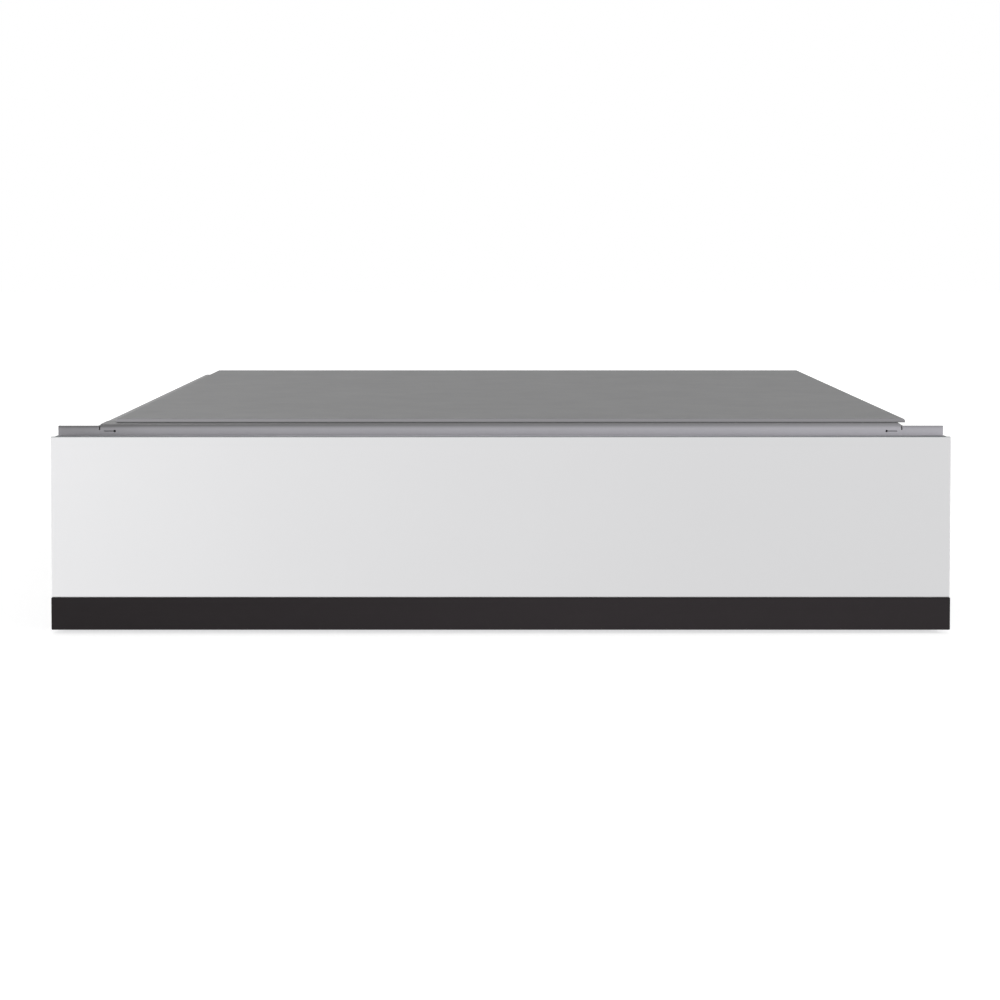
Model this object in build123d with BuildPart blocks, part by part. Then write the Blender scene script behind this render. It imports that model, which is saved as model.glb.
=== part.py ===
# Built-in storage drawer: sheet-steel casing for a cabinet niche, drawer on telescopic
# ball runners, flat front without a handle, opened by a push latch.
#
# Frame: X to the right seen from the front, Y from the front into the niche, Z up.
# The origin is the middle of the object's box, at its base. All sizes are millimetres.

import os
from math import asin, cos, pi, radians, sin, sqrt

from build123d import *

os.makedirs("parts", exist_ok=True)

# Overall sizes
WIDTH = 595.0  # front, side to side
HEIGHT = 140.0  # base to the top of the cover
DEPTH = 545.0  # front face to the rear screw heads

# Sheet metal
SHEET = 1.0  # casing, frame, cover, tray and carrier
BEND = 1.0  # inner bend radius of the folded profiles
PAN_CORNER = 3.0  # corner radius of the sheet pans
FIXING_PLAY = 0.1  # radial clearance of a screw, rivet or stem in its hole

# Front panel
FRONT_BOTTOM = 2.2  # lower edge above the base
FRONT_HEIGHT = 128.0
FRONT_DEPTH = 16.5  # glass face to the inner panel's back
GLASS = 4.0
GLASS_SIDE_STEP = 0.35  # the glass ends this far inside the strip's ends
GLASS_JOINT = 0.15  # open joint between glass and strip
GLASS_BEVEL = 0.5
TAPE = 0.5
TAPE_WIDTH = 12.0
TAPE_INSET = 8.0
TAPE_JOINT = 1.0  # open joint between two strips of tape
STRIP_HEIGHT = 21.55
STRIP_WALL = 1.5
STRIP_ROUND = 0.6
STRIP_EDGE = 0.3  # edge radius of the strip's face
CARRIER_STEP = 0.3  # the carrier stays this far inside the glass outline
CARRIER_CORNER = 1.2
INNER_RIM = 8.0
STIFFENER_X = 150.0
STIFFENER_CROWN = 30.0
STIFFENER_BRIM = 12.0
STIFFENER_CLEAR = 3.0
CLIP_SHEET = 0.6
CLIP_LENGTH = 20.0
CLIP_DEPTH = 2.4
CLIP_FIT = 0.15
CLIP_COUNT = 5
CLIP_END = 37.5  # middle of the last clip to the strip's end

# Front frame
FRONT_GAP = 3.5  # between the closed front and the frame
FRAME_INSET = 1.5  # the frame's edge lies inside the front's edge
FRAME_FLANGE = 25.0  # the frame's flange beside the casing, for its screws
FRAME_CORNER = 0.3
FRAME_LEDGE = 27.0
FRAME_BEND = 3.5  # outer radius of the fold between flange and ledge
LEDGE_STEP = 3.0  # the ledge ends this far inside the casing's sides
FLANGE_DROP = 1.0  # the flange's ends stay this far below the ledge
RELIEF_WIDTH = 0.8  # notches at the ends of the fold
RELIEF_DEPTH = 3.9
FRAME_RETURN = 25.0
FRAME_RETURN_STEP = 8.0  # the returns end this far short of the frame's ends
WINDOW_BOTTOM = 12.0
WINDOW_CORNER = 2.0
TOP_RAIL = 11.0
BOTTOM_TAB = 44.0
SCREW_HOLE_R = 2.25
SCREW_HOLE_PITCH = 88.0
SLOT_LENGTH = 8.0
SLOT_HEIGHT = 0.5
SLOT_INSET = 9.5  # middle of a slot inside the casing's side
SLOT_DROP = 4.6  # below the ledge
SLOT_EYE_R = 0.8  # round hole at a slot's inner end
BUFFER_R = 4.0
BUFFER_PROUD = 1.2
BUFFER_STEM_R = 1.5
BUFFER_BARB_R = 2.5
BUFFER_BARB = 1.8
BUFFER_PITCH = 44.0

# Casing
TOP_FLANGE = 20.0
BOTTOM_FLANGE = 22.0
BACK_RIM = 15.0
BEAD_HEIGHT = 2.5
BEAD_WIDTH = 34.0
BEAD_PITCH = 160.0
BEAD_END = 40.0  # the beads end this far inside the base's edges
RIVET_R = 1.6
RIVET_HEAD_R = 3.0
RIVET_HEAD = 1.0
RIVET_TAIL_R = 2.4
RIVET_INSET = 12.0
RIVET_LOW_Z = 24.0
RIVET_HIGH_Z = 108.0

# Top cover
COVER_STEP = 4.0  # casing flange to the cover's top
COVER_FRONT = 10.0  # frame face to the cover's front edge
COVER_LEFT_LEDGE = 12.0  # casing flange left bare beside the cover
COVER_RIGHT_OVERHANG = 1.5
COVER_SHADOW = 0.3  # open joint under the cover's lip
COVER_REAR_LIP = 16.0
COVER_BEND = 1.8  # outer radius of the cover's folds
HAT_WIDTH = 40.0
HAT_CROWN = 22.0
HAT_COUNT = 3
HAT_PITCH = 150.0

# Screws
SCREW_R = 1.9
SCREW_HEAD_R = 3.6
SCREW_HEAD = 1.8
SCREW_TIP = 3.0  # screw past the last sheet
COVER_SCREW_COUNT = 3
COVER_SCREW_PITCH = 200.0
COVER_SCREW_DROP = 12.0
FRONT_SCREW_PITCH = 50.0

# Telescopic runners
RUNNER_SHORT = 20.0  # the runners are this much shorter than the tray
RUNNER_HEIGHT = 45.0
RUNNER_THICK = 12.7
RUNNER_Z = 62.0
RUNNER_SHEET = 1.2
RUNNER_BACKSET = 1.0  # behind the frame's plate
MEMBER_SHORT = 5.0  # middle and inner members are shorter than the outer one
MIDDLE_BEND = 0.9
BALL_R = 1.75
BALL_PLAY = 0.1
BALL_INSET = 0.8  # straight of the outer race before the ball
RACE_HALF = 50.0  # degrees of race on each side of a ball
CAGE_SHEET = 0.5
CAGE_LENGTH = 220.0
CAGE_START = 114.0
CAGE_LIP = 0.9
OUTER_CAGE_BEND = 0.75
INNER_CAGE_BEND = 2.0
POCKET_PLAY = 0.1
POCKET_REACH = 1.0
BALL_COUNT = 5
BALL_PITCH = 48.0
RUNNER_SCREW_FRONT = 37.0  # screws from the runner's front end
RUNNER_SCREW_MIDDLE = 197.0
RUNNER_SCREW_REAR = 61.0  # from its rear end
RUNNER_SCREW_R = 2.0
RUNNER_SCREW_HEAD_R = 3.1
RUNNER_SCREW_SUNK = 0.15
RUNNER_SCREW_TIP = 1.5
MEMBER_SLOT_LENGTH = 14.0  # slots punched in the members' webs
MEMBER_SLOT_HEIGHT = 5.0
OUTER_SLOTS = (70.0, 230.0, 330.0)  # middles of the slots from the runner's front end
MIDDLE_SLOTS = (30.0, 80.0, 222.0, 380.0)
INNER_SLOTS = (70.0, 110.0, 250.0, 330.0)
STOP_LENGTH = 4.0
STOP_THICK = 2.8
STOP_ROUND = 0.7
STOP_HEIGHT = 20.0

# Tray
TRAY_BOTTOM = 16.0
TRAY_TOP = 106.0
TRAY_RIM = 10.0
TRAY_LIP = 5.0
TRAY_HEM = 4.0
TRAY_SCREW_TIP = 1.0
MAT_THICK = 2.0
MAT_CLEAR = 2.0
MAT_CORNER = 6.0

# Push latch
LATCH_Z = 60.0
PRESS = 2.0  # how far a push moves the closed front in
LATCH_GAP = 0.1
LATCH_BODY_R = 10.0
LATCH_WALL = 2.4
LATCH_LENGTH = 43.0
LATCH_FLANGE = 38.0
LATCH_FLANGE_THICK = 3.0
LATCH_CORNER = 4.0
LATCH_SCREW_X = 14.2
CATCH_SLOT_LENGTH = 18.0
CATCH_SLOT_WIDTH = 3.0
CATCH_SLOT_INSET = 6.0
CAP_THICK = 2.4
CAP_FIT = 0.05
PLUNGER_R = 4.0
PLUNGER_FIT = 0.08
PLUNGER_HEAD_R = 7.0
PLUNGER_HEAD = 6.0
PLUNGER_PROUD = 10.6  # its face ahead of the housing
PLUNGER_EDGE = 0.6
COLLAR_R = 7.2
COLLAR = 3.0
TAIL_R = 3.2
TAIL_CLEAR = 1.5
MAGNET_R = 5.0
MAGNET = 2.0
STRIKER_WIDTH = 34.0
STRIKER_HEIGHT = 20.0
STRIKER_SHEET = 1.0
STRIKER_CORNER = 3.0
STRIKER_RIVET_X = 12.5
SPRING_SPACE = 19.0
SPRING_WIRE_R = 0.4
SPRING_R = 5.4
SPRING_TURNS = 6
SPRING_SEAT = 0.1

# Places that follow from the sizes above
FRONT_Y = -DEPTH / 2
INNER_Y = FRONT_Y + FRONT_DEPTH
FRAME_Y = INNER_Y + FRONT_GAP
CASING_Y = FRAME_Y + SHEET
BACK_Y = DEPTH / 2 - SCREW_HEAD - SHEET
FRAME_HALF = WIDTH / 2 - FRAME_INSET
CASING_WIDTH = 2 * (FRAME_HALF - FRAME_FLANGE)
WALL_X = CASING_WIDTH / 2 - SHEET
CASING_TOP = HEIGHT - COVER_STEP
FRAME_TOP = CASING_TOP + SHEET
FLANGE_TOP = FRAME_TOP - FLANGE_DROP
WINDOW_TOP = FRAME_TOP - TOP_RAIL
FLANGE_X = (CASING_WIDTH / 2 + SHEET + FRAME_HALF) / 2
FLANGE_Z = (WINDOW_BOTTOM + WINDOW_TOP) / 2
SLOT_X = CASING_WIDTH / 2 - SLOT_INSET
SLOT_EYE_X = SLOT_X - SLOT_LENGTH / 2 + SLOT_EYE_R
SLOT_Z = FRAME_TOP - SLOT_DROP
LEDGE_HALF = CASING_WIDTH / 2 - LEDGE_STEP
RELIEF_X = LEDGE_HALF + RELIEF_WIDTH / 2
FRONT_TOP = FRONT_BOTTOM + FRONT_HEIGHT
STRIP_TOP = FRONT_BOTTOM + STRIP_HEIGHT
CARRIER_Y = FRONT_Y + GLASS + TAPE
CARRIER_HALF = WIDTH / 2 - GLASS_SIDE_STEP - CARRIER_STEP
CARRIER_BOTTOM = FRONT_BOTTOM + CARRIER_STEP
CARRIER_TOP = FRONT_TOP - CARRIER_STEP
CLIP_PITCH = (WIDTH - 2 * CLIP_END) / (CLIP_COUNT - 1)
COVER_Y = FRAME_Y + COVER_FRONT
COVER_LEFT = COVER_LEFT_LEDGE - CASING_WIDTH / 2
COVER_RIGHT = CASING_WIDTH / 2 + COVER_RIGHT_OVERHANG
COVER_LIP_Z = FRAME_TOP + COVER_SHADOW
COVER_SCREW_Z = HEIGHT - COVER_SCREW_DROP
LATCH_BACK_Y = BACK_Y - SHEET
LATCH_FRONT_Y = LATCH_BACK_Y - LATCH_LENGTH
CAVITY_R = LATCH_BODY_R - LATCH_WALL
CAP_Y = LATCH_BACK_Y - CAP_THICK
COLLAR_BACK_Y = CAP_Y - SPRING_SPACE
PLUNGER_Y = LATCH_FRONT_Y - PLUNGER_PROUD
TRAY_BACK_Y = PLUNGER_Y - LATCH_GAP - STRIKER_SHEET
TRAY_DEPTH = TRAY_BACK_Y - INNER_Y
TRAY_X = WALL_X - RUNNER_THICK
TRAY_MID_Z = (TRAY_BOTTOM + TRAY_TOP) / 2
RUNNER_Y = CASING_Y + RUNNER_BACKSET
RUNNER_LENGTH = TRAY_DEPTH - RUNNER_SHORT
RUNNER_SCREWS = (RUNNER_SCREW_FRONT, RUNNER_SCREW_MIDDLE, RUNNER_LENGTH - RUNNER_SCREW_REAR)
MEMBER_LENGTH = RUNNER_LENGTH - MEMBER_SHORT

# Runner section, seen along Y: u runs from the casing wall to the tray, v up from mid-height
RACE_R = BALL_R + BALL_PLAY + RUNNER_SHEET / 2
OUTER_U = RUNNER_SHEET / 2
ROW_A = (OUTER_U + RACE_R + BALL_INSET, (RUNNER_HEIGHT - RUNNER_SHEET) / 2 - RACE_R)
ROW_B = (
    ROW_A[0] + 2 * RACE_R * sin(radians(RACE_HALF)),
    ROW_A[1] - 2 * RACE_R * cos(radians(RACE_HALF)),
)
MIDDLE_U = ROW_A[0] - MIDDLE_BEND
INNER_U = RUNNER_THICK - RUNNER_SHEET / 2
INNER_TURN_R = (INNER_U - ROW_B[0] - RACE_R) / 2
OUTER_CAGE_U = (RUNNER_SHEET + MIDDLE_U - RUNNER_SHEET / 2) / 2
INNER_END_U = ROW_B[0] - (RACE_R + RUNNER_SHEET / 2) * sin(radians(RACE_HALF))
INNER_CAGE_U = (MIDDLE_U + RUNNER_SHEET / 2 + INNER_END_U) / 2

# Fixing places
RIVET_FRONT = [(CASING_Y + RIVET_INSET, z) for z in (RIVET_LOW_Z, RIVET_HIGH_Z)]
RIVET_REAR = [(BACK_Y - BACK_RIM / 2, z) for z in (RIVET_LOW_Z, RIVET_HIGH_Z)]
RUNNER_HOLES = [(RUNNER_Y + y, RUNNER_Z) for y in RUNNER_SCREWS]
COVER_SCREW_XS = [
    (i - (COVER_SCREW_COUNT - 1) / 2) * COVER_SCREW_PITCH for i in range(COVER_SCREW_COUNT)
]
FRONT_SCREW_PLACES = [
    (x, TRAY_MID_Z + z)
    for x in (-STIFFENER_X, STIFFENER_X)
    for z in (-FRONT_SCREW_PITCH / 2, FRONT_SCREW_PITCH / 2)
]
SIDES = ((-1, "left"), (1, "right"))


def write(name, piece):
    """Label a finished piece and write its file."""
    piece.part.label = name
    export_step(piece.part, f"parts/{name}.step")


def front_plane(y):
    """Upright plane that faces the front: local x is X, local y is Z."""
    return Plane(origin=(0, y, 0), x_dir=(1, 0, 0), z_dir=(0, -1, 0))


def facing(x, y, z, direction):
    """Plane for a fixing whose head looks towards direction."""
    up = (0, 0, 1) if direction[2] == 0 else (1, 0, 0)
    return Plane(origin=(x, y, z), x_dir=up, z_dir=direction)


def pan(y, depth, half, bottom, top, direction, corner):
    """Sheet pan: a plate with its outer face at y and a rim all round towards direction (+1 is +Y)."""
    with BuildPart() as shape:
        with BuildSketch(front_plane(y)):
            with Locations((0, (bottom + top) / 2)):
                RectangleRounded(2 * half, top - bottom, corner)
        extrude(amount=-direction * depth)
        with BuildSketch(front_plane(y + direction * SHEET)):
            with Locations((0, (bottom + top) / 2)):
                RectangleRounded(2 * (half - SHEET), top - bottom - 2 * SHEET, corner - SHEET)
        extrude(amount=-direction * depth, mode=Mode.SUBTRACT)
    return shape.part


def dome_point(radius, low, high):
    """Point halfway along a dome's arc, from (radius, low) to (0, high), centred on the axis."""
    rise = high - low
    ball = (radius**2 + rise**2) / (2 * rise)
    half_turn = asin(radius / ball) / 2
    return (ball * sin(half_turn), high - ball * (1 - cos(half_turn)))


def pan_screw(length):
    """Pan-head screw: the head's seat is at height 0 and the shank points down."""
    with BuildPart() as screw:
        with BuildSketch(Plane.XZ):
            with BuildLine():
                Polyline(
                    (0, SCREW_HEAD),
                    (0, -length),
                    (SCREW_R, -length),
                    (SCREW_R, 0),
                    (SCREW_HEAD_R, 0),
                    (SCREW_HEAD_R, SCREW_HEAD / 2),
                )
                ThreePointArc(
                    (SCREW_HEAD_R, SCREW_HEAD / 2),
                    dome_point(SCREW_HEAD_R, SCREW_HEAD / 2, SCREW_HEAD),
                    (0, SCREW_HEAD),
                )
            make_face()
        revolve(axis=Axis.Z)
    return screw.part


def rivet(grip):
    """Blind rivet through a stack of sheets of thickness grip, dome up, seat at height 0."""
    with BuildPart() as shape:
        with BuildSketch(Plane.XZ):
            with BuildLine():
                Polyline(
                    (0, RIVET_HEAD),
                    (0, -grip - RIVET_HEAD),
                    (RIVET_TAIL_R, -grip - RIVET_HEAD),
                    (RIVET_TAIL_R, -grip),
                    (RIVET_R, -grip),
                    (RIVET_R, 0),
                    (RIVET_HEAD_R, 0),
                )
                ThreePointArc(
                    (RIVET_HEAD_R, 0),
                    dome_point(RIVET_HEAD_R, 0, RIVET_HEAD),
                    (0, RIVET_HEAD),
                )
            make_face()
        revolve(axis=Axis.Z)
    return shape.part


# Casing base: flat sheet with three beads pressed up, which stiffen it
with BuildPart() as casing_base:
    middle_y = (CASING_Y + BACK_Y) / 2
    bead_length = BACK_Y - CASING_Y - 2 * BEAD_END
    bead_places = [(x, middle_y) for x in (-BEAD_PITCH, 0, BEAD_PITCH)]
    groove_step = 2 * SHEET * (sqrt(2) - 1)  # keeps the sheet's thickness on the 45 degree slopes
    with BuildSketch(Plane.XY):
        with Locations((0, middle_y)):
            Rectangle(CASING_WIDTH, BACK_Y - CASING_Y)
    extrude(amount=SHEET)
    with BuildSketch(Plane.XY.offset(SHEET)):
        with Locations(*bead_places):
            SlotOverall(bead_length, BEAD_WIDTH, rotation=90)
    extrude(amount=BEAD_HEIGHT, taper=45)
    with BuildSketch(Plane.XY):
        with Locations(*bead_places):
            SlotOverall(bead_length - groove_step, BEAD_WIDTH - groove_step, rotation=90)
    extrude(amount=BEAD_HEIGHT, taper=45, mode=Mode.SUBTRACT)
write("casing_base", casing_base)


def casing_side(side):
    """Channel-shaped side wall: bottom flange on the base, web, top flange."""
    outer = side * CASING_WIDTH / 2
    web = side * (CASING_WIDTH - SHEET) / 2
    with BuildPart() as wall:
        with BuildSketch(front_plane(CASING_Y)):
            with BuildLine():
                FilletPolyline(
                    (outer - side * BOTTOM_FLANGE, 1.5 * SHEET),
                    (web, 1.5 * SHEET),
                    (web, CASING_TOP - SHEET / 2),
                    (outer - side * TOP_FLANGE, CASING_TOP - SHEET / 2),
                    radius=BEND + SHEET / 2,
                )
            trace(line_width=SHEET)
        extrude(amount=CASING_Y - BACK_Y)
        with BuildSketch(Plane.YZ.offset(web)):
            with Locations(*RUNNER_HOLES):
                Circle(RUNNER_SCREW_R + FIXING_PLAY)
            with Locations(*RIVET_FRONT, *RIVET_REAR):
                Circle(RIVET_R + FIXING_PLAY)
        extrude(amount=SHEET, both=True, mode=Mode.SUBTRACT)
        with BuildSketch(Plane.XY.offset(CASING_TOP)):
            with Locations((side * (LEDGE_HALF + FIXING_PLAY - TOP_FLANGE / 2), CASING_Y)):
                Rectangle(TOP_FLANGE, 2 * (FRAME_BEND - SHEET))
        extrude(amount=-FRAME_BEND, mode=Mode.SUBTRACT)
    return wall


for side, hand in SIDES:
    write(f"casing_{hand}_side", casing_side(side))

# Casing back: a sheet pan between the side walls, its rim points forward
with BuildPart() as casing_back:
    add(pan(BACK_Y, BACK_RIM, WALL_X, 2 * SHEET, CASING_TOP - SHEET, -1, PAN_CORNER))
    with BuildSketch(front_plane(BACK_Y)):
        with Locations(*[(x, COVER_SCREW_Z) for x in COVER_SCREW_XS]):
            Circle(SCREW_R + FIXING_PLAY)
        with Locations((-LATCH_SCREW_X, LATCH_Z), (LATCH_SCREW_X, LATCH_Z)):
            Circle(SCREW_R + FIXING_PLAY)
    extrude(amount=2 * SHEET, both=True, mode=Mode.SUBTRACT)
    with BuildSketch(Plane.YZ):
        with Locations(*RIVET_REAR):
            Circle(RIVET_R + FIXING_PLAY)
    extrude(amount=CASING_WIDTH, both=True, mode=Mode.SUBTRACT)
write("casing_back", casing_back)

# Front frame: flange plate with the drawer window, folded back at its top to a ledge over the
# casing's flanges, with relief notches at the fold's ends; returns outside the side walls and
# tabs on the base between its beads
with BuildPart() as front_frame:
    with BuildSketch(front_plane(FRAME_Y)):
        with Locations((0, FLANGE_TOP / 2)):
            RectangleRounded(2 * FRAME_HALF, FLANGE_TOP, FRAME_CORNER)
        with Locations((0, FLANGE_Z)):
            RectangleRounded(
                2 * WALL_X, WINDOW_TOP - WINDOW_BOTTOM, WINDOW_CORNER, mode=Mode.SUBTRACT
            )
        with Locations((0, FLANGE_Z)):
            with GridLocations(2 * FLANGE_X, SCREW_HOLE_PITCH, 2, 2):
                Circle(SCREW_HOLE_R, mode=Mode.SUBTRACT)
            with GridLocations(2 * FLANGE_X, BUFFER_PITCH, 2, 2):
                Circle(BUFFER_STEM_R + FIXING_PLAY, mode=Mode.SUBTRACT)
        with Locations((-SLOT_X, SLOT_Z), (SLOT_X, SLOT_Z)):
            SlotOverall(SLOT_LENGTH, SLOT_HEIGHT, mode=Mode.SUBTRACT)
        with Locations((-SLOT_EYE_X, SLOT_Z), (SLOT_EYE_X, SLOT_Z)):
            Circle(SLOT_EYE_R, mode=Mode.SUBTRACT)
        with Locations((0, FRAME_TOP)):
            Rectangle(2 * LEDGE_HALF, 2 * FRAME_BEND, mode=Mode.SUBTRACT)
        with Locations((-RELIEF_X, FRAME_TOP), (RELIEF_X, FRAME_TOP)):
            Rectangle(RELIEF_WIDTH, 2 * RELIEF_DEPTH, mode=Mode.SUBTRACT)
    extrude(amount=-SHEET)
    with BuildSketch(Plane.YZ.offset(-LEDGE_HALF)):
        with BuildLine():
            fold_y, fold_z = FRAME_Y + FRAME_BEND, FRAME_TOP - FRAME_BEND
            CenterArc((fold_y, fold_z), FRAME_BEND - SHEET / 2, 90, 90)
            Line((fold_y, FRAME_TOP - SHEET / 2), (FRAME_Y + FRAME_LEDGE, FRAME_TOP - SHEET / 2))
        trace(line_width=SHEET)
    extrude(amount=2 * LEDGE_HALF)
    return_x, return_y = (CASING_WIDTH + SHEET) / 2, FRAME_Y + FRAME_RETURN / 2
    with BuildSketch(Plane.XY.offset(FRAME_RETURN_STEP)):
        with Locations((-return_x, return_y), (return_x, return_y)):
            Rectangle(SHEET, FRAME_RETURN)
    extrude(amount=CASING_TOP - 2 * FRAME_RETURN_STEP)
    with BuildSketch(Plane.XY.offset(SHEET)):
        with Locations((-BEAD_PITCH / 2, return_y), (BEAD_PITCH / 2, return_y)):
            Rectangle(BOTTOM_TAB, FRAME_RETURN)
    extrude(amount=SHEET)
    with BuildSketch(Plane.YZ):
        with Locations(*RIVET_FRONT):
            Circle(RIVET_R + FIXING_PLAY)
    extrude(amount=CASING_WIDTH, both=True, mode=Mode.SUBTRACT)
write("front_frame", front_frame)

# Frame buffers: soft studs pushed into the flange, the front lands on them when it is pressed
with BuildPart() as buffer_stud:
    with BuildSketch(Plane.XZ):
        with BuildLine():
            Polyline(
                (0, BUFFER_PROUD),
                (0, -SHEET - BUFFER_BARB),
                (BUFFER_STEM_R, -SHEET - BUFFER_BARB),
                (BUFFER_BARB_R, -SHEET),
                (BUFFER_STEM_R, -SHEET),
                (BUFFER_STEM_R, 0),
                (BUFFER_R, 0),
            )
            ThreePointArc((BUFFER_R, 0), dome_point(BUFFER_R, 0, BUFFER_PROUD), (0, BUFFER_PROUD))
        make_face()
    revolve(axis=Axis.Z)

with BuildPart() as frame_buffers:
    places = [
        facing(x, FRAME_Y, FLANGE_Z + z, (0, -1, 0))
        for x in (-FLANGE_X, FLANGE_X)
        for z in (-BUFFER_PITCH / 2, BUFFER_PITCH / 2)
    ]
    with Locations(*places):
        add(buffer_stud.part)
write("frame_buffers", frame_buffers)

# Rivets: through frame return and side wall at the front, through side wall and back rim behind
with BuildPart() as casing_rivets:
    front_places = [
        facing(side * (CASING_WIDTH / 2 + SHEET), y, z, (side, 0, 0))
        for side, hand in SIDES
        for y, z in RIVET_FRONT
    ]
    rear_places = [
        facing(side * CASING_WIDTH / 2, y, z, (side, 0, 0))
        for side, hand in SIDES
        for y, z in RIVET_REAR
    ]
    with Locations(*front_places, *rear_places):
        add(rivet(2 * SHEET))
write("casing_rivets", casing_rivets)

# Top cover: shallow sheet pan with a low lip on three sides and a deeper one behind
with BuildPart() as top_cover:
    cover_middle = ((COVER_LEFT + COVER_RIGHT) / 2, (COVER_Y + BACK_Y + SHEET) / 2)
    cover_width = COVER_RIGHT - COVER_LEFT
    cover_depth = BACK_Y + SHEET - COVER_Y
    with BuildSketch(Plane.XY.offset(COVER_LIP_Z)):
        with Locations(cover_middle):
            Rectangle(cover_width, cover_depth)
    extrude(amount=HEIGHT - COVER_LIP_Z)
    with BuildSketch(Plane.XY.offset(HEIGHT - COVER_REAR_LIP)):
        with Locations((cover_middle[0], BACK_Y + SHEET / 2)):
            Rectangle(cover_width, SHEET)
    extrude(amount=COVER_REAR_LIP)
    with BuildSketch(Plane.XY.offset(COVER_LIP_Z)):
        with Locations(cover_middle):
            Rectangle(cover_width - 2 * SHEET, cover_depth - 2 * SHEET)
    extrude(amount=HEIGHT - COVER_LIP_Z - SHEET, mode=Mode.SUBTRACT)
    ceiling = top_cover.faces().filter_by(Axis.Z).sort_by(Axis.Z)[-2]
    fillet(ceiling.edges(), COVER_BEND - SHEET)
    fillet(top_cover.faces().sort_by(Axis.Z)[-1].edges(), COVER_BEND)
    with BuildSketch(front_plane(BACK_Y)):
        with Locations(*[(x, COVER_SCREW_Z) for x in COVER_SCREW_XS]):
            Circle(SCREW_R + FIXING_PLAY)
    extrude(amount=2 * SHEET, both=True, mode=Mode.SUBTRACT)
write("top_cover", top_cover)

# Cover stiffeners: hat channels across the casing, they carry the cover on the side flanges
with BuildPart() as cover_stiffeners:
    stiffener_x = COVER_LEFT + COVER_BEND
    low, high = CASING_TOP + SHEET / 2, HEIGHT - 1.5 * SHEET
    for i in range(HAT_COUNT):
        y = (i - (HAT_COUNT - 1) / 2) * HAT_PITCH
        with BuildSketch(Plane.YZ.offset(stiffener_x)):
            with BuildLine():
                Polyline(
                    (y - HAT_WIDTH / 2, low),
                    (y - HAT_CROWN / 2 - (high - low), low),
                    (y - HAT_CROWN / 2, high),
                    (y + HAT_CROWN / 2, high),
                    (y + HAT_CROWN / 2 + (high - low), low),
                    (y + HAT_WIDTH / 2, low),
                )
            trace(line_width=SHEET)
        extrude(amount=WALL_X - stiffener_x)
write("cover_stiffeners", cover_stiffeners)

with BuildPart() as cover_screws:
    with Locations(*[facing(x, BACK_Y + SHEET, COVER_SCREW_Z, (0, 1, 0)) for x in COVER_SCREW_XS]):
        add(pan_screw(2 * SHEET + SCREW_TIP))
write("cover_screws", cover_screws)


def runner_plane(side, y):
    """Section plane of a runner: local x runs from the casing wall to the tray, local y is up."""
    return Plane(origin=(side * WALL_X, y, RUNNER_Z), x_dir=(-side, 0, 0), z_dir=(0, side, 0))


def web_slots(side, web_u, slots):
    """Punches for the slots in a member's web, at distances from the runner's front end."""
    with BuildPart() as punches:
        with BuildSketch(Plane.YZ.offset(side * (WALL_X - web_u))):
            with Locations(*[(RUNNER_Y + y, RUNNER_Z) for y in slots]):
                SlotOverall(MEMBER_SLOT_LENGTH, MEMBER_SLOT_HEIGHT)
        extrude(amount=RUNNER_SHEET, both=True)
    return punches.part


def runner_outer(side):
    """Outer member: channel on the casing wall whose edges roll over the first ball row."""
    u, v = ROW_A
    with BuildPart() as member:
        with BuildSketch(runner_plane(side, RUNNER_Y)):
            with BuildLine():
                Line((OUTER_U, 0), (OUTER_U, v))
                CenterArc((OUTER_U + RACE_R, v), RACE_R, 90, 90)
                Line((OUTER_U + RACE_R, v + RACE_R), (u, v + RACE_R))
                CenterArc((u, v), RACE_R, 90 - RACE_HALF, RACE_HALF)
                mirror(about=Plane.XZ)
            trace(line_width=RUNNER_SHEET)
        extrude(amount=side * RUNNER_LENGTH)
        holes = [
            facing(side * (WALL_X - RUNNER_SHEET), y, z, (-side, 0, 0)) for y, z in RUNNER_HOLES
        ]
        with Locations(*holes):
            CounterSinkHole(
                RUNNER_SCREW_R + FIXING_PLAY,
                RUNNER_SCREW_HEAD_R + FIXING_PLAY,
                depth=2 * RUNNER_SHEET,
                counter_sink_angle=90,
            )
        add(web_slots(side, OUTER_U, OUTER_SLOTS), mode=Mode.SUBTRACT)
    return member


def runner_middle(side):
    """Middle member: its edges pass under the first ball row and over the second."""
    (ua, va), (ub, vb) = ROW_A, ROW_B
    with BuildPart() as member:
        with BuildSketch(runner_plane(side, RUNNER_Y)):
            with BuildLine():
                Line((MIDDLE_U, 0), (MIDDLE_U, va - RACE_R - MIDDLE_BEND))
                CenterArc((ua, va - RACE_R - MIDDLE_BEND), MIDDLE_BEND, 90, 90)
                CenterArc((ua, va), RACE_R, 270, RACE_HALF)
                CenterArc((ub, vb), RACE_R, 90 - RACE_HALF, 2 * RACE_HALF)
                mirror(about=Plane.XZ)
            trace(line_width=RUNNER_SHEET)
        extrude(amount=side * MEMBER_LENGTH)
        add(web_slots(side, MIDDLE_U, MIDDLE_SLOTS), mode=Mode.SUBTRACT)
    return member


def runner_inner(side):
    """Inner member: channel on the tray whose edges turn back under the second ball row."""
    u, v = ROW_B
    with BuildPart() as member:
        with BuildSketch(runner_plane(side, RUNNER_Y)):
            with BuildLine():
                Line((INNER_U, 0), (INNER_U, v))
                CenterArc((INNER_U - INNER_TURN_R, v), INNER_TURN_R, 0, 180)
                CenterArc((u, v), RACE_R, 270 - RACE_HALF, 90 + RACE_HALF)
                mirror(about=Plane.XZ)
            trace(line_width=RUNNER_SHEET)
        extrude(amount=side * MEMBER_LENGTH)
        with BuildSketch(Plane.YZ.offset(side * (TRAY_X + RUNNER_SHEET / 2))):
            with Locations(*RUNNER_HOLES):
                Circle(SCREW_R + FIXING_PLAY)
        extrude(amount=RUNNER_SHEET, both=True, mode=Mode.SUBTRACT)
        add(web_slots(side, INNER_U, INNER_SLOTS), mode=Mode.SUBTRACT)
    return member


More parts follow.
